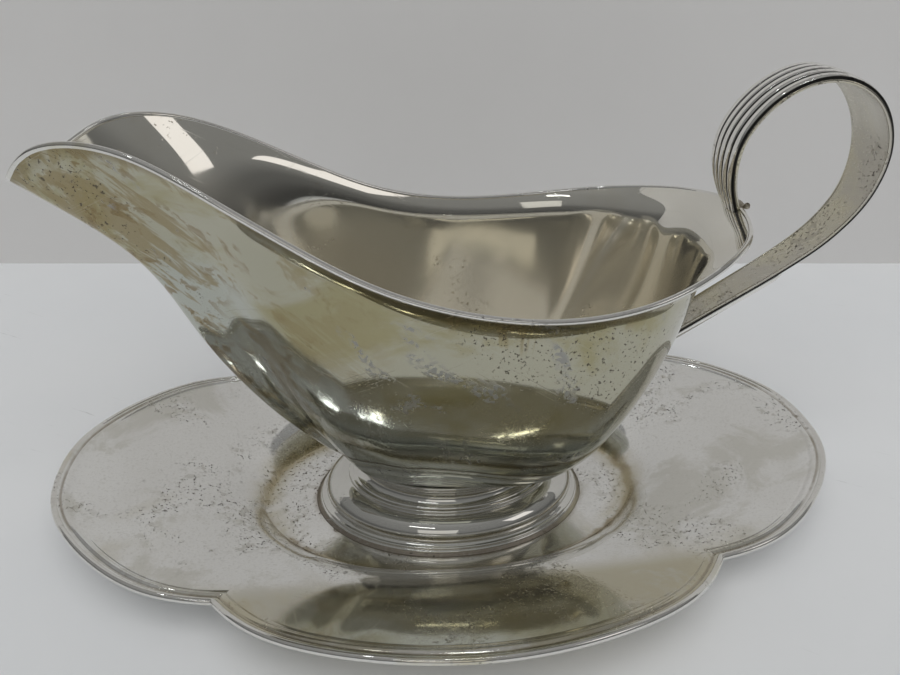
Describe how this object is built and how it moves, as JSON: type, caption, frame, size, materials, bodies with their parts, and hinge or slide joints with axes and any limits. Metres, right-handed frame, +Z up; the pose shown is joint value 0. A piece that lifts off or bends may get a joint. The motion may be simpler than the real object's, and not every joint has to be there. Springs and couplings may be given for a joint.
{
  "type": "silver sauce boat",
  "caption": "Footed oval sauce boat with a long raised spout and a reeded ribbon loop handle, soldered to its own lobed oval saucer.",
  "frame": {"origin": "middle of the flat underside of the saucer's well", "axes": "+X towards the handle, -X towards the spout, +Z up, +Y to the left of someone looking from the spout to the handle"},
  "size_m": [0.2298, 0.1718, 0.1266],
  "materials": {
    "saucer": "satin silver plate, tarnished and pitted",
    "border_wire": "polished bead with dark lines beside it",
    "solder_seam": "dull grey-brown solder and dried residue",
    "foot": "polished silver plate, tarnish in the lines",
    "bowl": "polished silver plate with yellow-brown tarnish",
    "rim_wire": "polished bead",
    "handle_inner": "satin, mottled brown tarnish",
    "handle_reeded": "polished reeds with nearly black grooves"
  },
  "bodies": {
    "root": {"saucer_plate": "saucer", "saucer_border_wire": "border_wire", "foot_solder_seam": "solder_seam", "foot_base_moulding": "foot", "foot_shell": "foot", "neck_bead": "foot", "bowl_shell": "bowl", "bowl_rim_wire": "rim_wire", "handle_inner_strip": "handle_inner", "handle_reeded_strip": "handle_reeded", "handle_tail_ornament": "handle_reeded", "handle_top_solder": "solder_seam", "handle_tail_solder": "solder_seam"}
  },
  "joints": []
}
